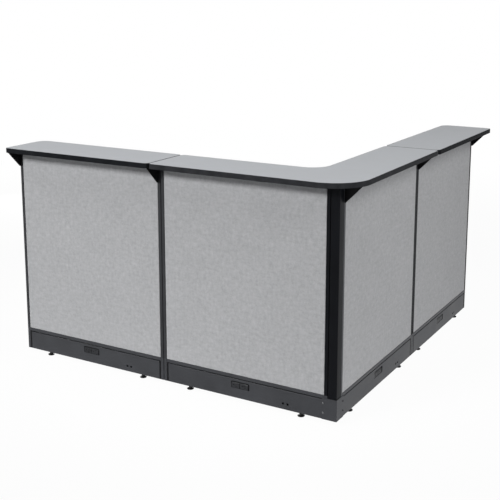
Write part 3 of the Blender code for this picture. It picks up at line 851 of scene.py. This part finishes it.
def plan_of(name):
    """Corners of a counter board's plan, from the box of its band: a rectangle for the ends, an L between."""
    low, high = (corner[:2] for corner in box_of(name + "_band"))
    if name != "corner_counter":
        return [(*low, CORNER_RADIUS), (high[0], low[1], CORNER_RADIUS), (*high, CORNER_RADIUS),
                (low[0], high[1], END_RADIUS)]
    inner_corner = (high[0] - counter_depth, low[1] + counter_depth)
    return [(*low, CORNER_RADIUS), (high[0], low[1], OUTER_RADIUS), (*high, CORNER_RADIUS),
            (inner_corner[0], high[1], CORNER_RADIUS), (*inner_corner, INNER_RADIUS),
            (low[0], inner_corner[1], CORNER_RADIUS)]


def laminate_finish(name, dark, light):
    """Grey laminate: a cloud of tone, fine speckle, and a pebbled press texture under a satin wear layer."""
    material, tree, shader = new_finish(name, IOR=1.5, Specular_IOR_Level=0.18)
    place = wire(tree, "ShaderNodeTexCoord").outputs["Object"]
    cloud = noise(tree, place, scale=9.0, detail=6.0)
    speckle = noise(tree, place, scale=420.0, detail=2.0)
    pebble = wire(tree, "ShaderNodeTexVoronoi", {"Vector": place, "Scale": 900.0}).outputs["Distance"]
    tone = combine(tree, "MULTIPLY_ADD", speckle, SPECKLE_SHARE, cloud)
    tone = ranged(tree, tone, *SPECKLE_BAND, 0, 1)
    tree.links.new(shades(tree, tone, dark, light), shader.inputs["Base Color"])
    tree.links.new(ranged(tree, cloud, *NOISE_BAND, *LAMINATE_ROUGHNESS), shader.inputs["Roughness"])
    emboss(tree, shader, pebble, PEBBLE_STRENGTH, PEBBLE_DEPTH)
    return material


laminate = laminate_finish("grey_laminate", LAMINATE_DARK, LAMINATE_LIGHT)
for name in ("left_counter", "corner_counter", "right_counter"):
    outline = bevelled_outline(plan_of(name), BAND_THICKNESS + FIT_GAP / 2)
    shell = skinned(upright(outline, (counter_low[2], counter_high[2])))
    face_out(add_piece(name + "_board", shell, laminate, stands_for=[name]))

# Edge bands
# A black plastic edge runs round every counter board, flush with the laminate, with a faintly bowed face and
# eased upper and lower corners. It turns into the seams, which leaves a small notch at each seam's ends.
# The end boards' bands are coloured darker than the corner board's: painted shade and light on one plastic.
BAND_LIGHT_AND_SHADE_TONES = {"left_counter": (0.013, 0.014, 0.016), "corner_counter": (0.030, 0.031, 0.034),
              "right_counter": (0.013, 0.014, 0.016)}
BAND_EASE = 0.0018
BAND_BOW = 0.0004
BAND_FACE_STEPS = 8
BAND_TURN_STEPS = 6


def band_profile(low, high):
    """Section of the band as inset and height: up the inner side, round the eased top, down the bowed face,
    round the eased foot and back to the start."""
    turn = np.linspace(0, np.pi / 2, BAND_TURN_STEPS)
    top_inset = BAND_EASE * (1 - np.sin(turn))
    top_height = high - BAND_EASE * (1 - np.cos(turn))
    share = np.linspace(0, 1, BAND_FACE_STEPS + 2)[1:-1]
    face_height = high - BAND_EASE - share * (high - low - 2 * BAND_EASE)
    inset = np.concatenate([[BAND_THICKNESS, BAND_THICKNESS], top_inset, 0 * share, top_inset[::-1]])
    height = np.concatenate([[low, high], top_height, face_height, (low + high - top_height)[::-1]])
    bow = BAND_BOW * (2 * (height - low) / (high - low) - 1) ** 2
    inset = np.where(inset < BAND_THICKNESS, inset + bow * (1 - inset / BAND_THICKNESS), inset)
    return np.append(inset, inset[0]), np.append(height, height[0])


insets, heights = band_profile(counter_low[2], counter_high[2])
for name, tone in BAND_LIGHT_AND_SHADE_TONES.items():
    band_plastic = moulded_plastic(name + "_band_plastic", tone, roughness=0.4, specular=0.005, grain=700.0)
    rings = np.concatenate([upright(bevelled_outline(plan_of(name), inset), [height])
                            for inset, height in zip(insets, heights)])
    shell = welded((rings.reshape(-1, 3), quads(*rings.shape[:2], wrap=True)))
    face_out(add_piece(name + "_edge", shell, band_plastic, stands_for=[name + "_band"]))

# Studio
# A plain pale floor that fades to white, and a faint even light from all round. Soft boxes stand in front,
# above, to the right and low on the staff side. The camera stands where a visitor walks up.
WHITE = (1.0, 1.0, 1.0, 1.0)
AMBIENT = 0.05
FLOOR_HALF = 40.0
FLOOR_CELLS = (4, 4)
FLOOR_FADE = (2.6, 6.5)
FLOOR_WHITE = 0.96
FLOOR_NEAR_TONE = 0.85
FLOOR_FAR_TONE = 0.3
FLOOR_TONE_FADE = (1.4, 2.4)


def shows_surroundings(tree):
    """1 on the rays that show the surroundings as seen, mirrored or through glass, and 0 on the others."""
    ray = wire(tree, "ShaderNodeLightPath").outputs
    seen = combine(tree, "MAXIMUM", ray["Is Camera Ray"], ray["Is Glossy Ray"])
    return combine(tree, "MAXIMUM", seen, ray["Is Transmission Ray"])


def floor_finish():
    """Matt pale floor that takes shadow near the station and shows plain white away from it. It throws less
    light back the farther it is from the station."""
    material = bpy.data.materials.new("pale_floor")
    material.use_nodes = True
    tree = material.node_tree
    tree.nodes.clear()
    place = wire(tree, "ShaderNodeTexCoord").outputs["Object"]
    distance = wire(tree, "ShaderNodeVectorMath", {0: place}, operation="LENGTH").outputs["Value"]
    fade = wire(tree, "ShaderNodeMapRange", {"Value": distance, "From Min": FLOOR_FADE[0],
                                             "From Max": FLOOR_FADE[1]}, interpolation_type="SMOOTHSTEP")
    whiteness = ranged(tree, fade.outputs["Result"], 0, 1, FLOOR_WHITE, 1)
    share = combine(tree, "MULTIPLY", whiteness, shows_surroundings(tree))
    tone = ranged(tree, distance, *FLOOR_TONE_FADE, FLOOR_NEAR_TONE, FLOOR_FAR_TONE)
    matt = wire(tree, "ShaderNodeBsdfDiffuse", {"Color": tone})
    white = wire(tree, "ShaderNodeEmission", {"Color": WHITE, "Strength": 1.0})
    mix = wire(tree, "ShaderNodeMixShader", {0: share, 1: matt.outputs[0], 2: white.outputs[0]})
    wire(tree, "ShaderNodeOutputMaterial", {"Surface": mix.outputs[0]})
    return material


floor_points, floor_faces = plain_cell((-FLOOR_HALF, -FLOOR_HALF), (FLOOR_HALF, FLOOR_HALF), FLOOR_CELLS)
floor_mesh = bpy.data.meshes.new("floor")
floor_mesh.from_pydata(np.column_stack([floor_points, np.zeros(len(floor_points))]).tolist(), [], floor_faces)
floor_mesh.materials.append(floor_finish())
floor = bpy.data.objects.new("floor", floor_mesh)
bpy.context.scene.collection.objects.link(floor)

world = bpy.data.worlds.new("studio")
bpy.context.scene.world = world
world.use_nodes = True
tree = world.node_tree
tree.nodes.clear()
ambient = wire(tree, "ShaderNodeBackground", {"Color": WHITE, "Strength": AMBIENT})
backdrop = wire(tree, "ShaderNodeBackground", {"Color": WHITE, "Strength": 1.0})
mix = wire(tree, "ShaderNodeMixShader", {0: shows_surroundings(tree), 1: ambient.outputs[0],
                                         2: backdrop.outputs[0]})
wire(tree, "ShaderNodeOutputWorld", {"Surface": mix.outputs[0]})


def soft_box(name, place, aim, size, power):
    """A rectangular soft light at a place, turned to face its aim."""
    light = bpy.data.lights.new(name, "AREA")
    light.shape = "RECTANGLE"
    light.size, light.size_y = size
    light.energy = power
    lamp = bpy.data.objects.new(name, light)
    lamp.location = place
    lamp.rotation_euler = (Vector(aim) - Vector(place)).to_track_quat("-Z", "Y").to_euler()
    bpy.context.scene.collection.objects.link(lamp)


soft_box("front_soft_box", place=(-3.1, -8.5, 4.75), aim=(-0.4, -0.9, 0.9), size=(3.3, 1.5), power=680)
soft_box("upper_soft_box", place=(-1.2, -2.4, 4.0), aim=(-0.4, -0.9, 1.0), size=(2.2, 1.2), power=20)
soft_box("right_soft_box", place=(6.0, -0.6, 0.6), aim=(0.9, 0.2, 0.5), size=(3.2, 0.8), power=92)
soft_box("right_upper_soft_box", place=(5.85, -1.25, 5.3), aim=(0.9, 0.1, 0.8), size=(3.6, 2.4), power=190)
soft_box("top_soft_box", place=(0.4, -1.2, 4.6), aim=(0.2, -0.4, 1.0), size=(2.0, 2.0), power=12)
soft_box("staff_soft_box", place=(-3.2, 3.2, 0.55), aim=(0.6, -0.6, 0.6), size=(3.0, 0.7), power=220)

IMAGE_SIZE = 500.0
SENSOR_WIDTH = 36.0
FOCAL_PIXELS = 958.8
LENS_SHIFT = -0.15
CAMERA_FROM_CORNER = np.array((1.7594, -3.8259, 2.0123))
CAMERA_YAW = 0.5270
CAMERA_PITCH = 0.1907
outer_corner = np.array((post_high[0], post_low[1], 0.0))
lens = bpy.data.cameras.new("visitor")
lens.sensor_width = SENSOR_WIDTH
lens.lens = FOCAL_PIXELS / IMAGE_SIZE * SENSOR_WIDTH
lens.shift_y = LENS_SHIFT
camera = bpy.data.objects.new("visitor", lens)
camera.location = outer_corner + CAMERA_FROM_CORNER
camera.rotation_euler = (np.pi / 2 - CAMERA_PITCH, 0, CAMERA_YAW)
bpy.context.scene.collection.objects.link(camera)
bpy.context.scene.camera = camera
bpy.context.scene.view_settings.view_transform = "Standard"
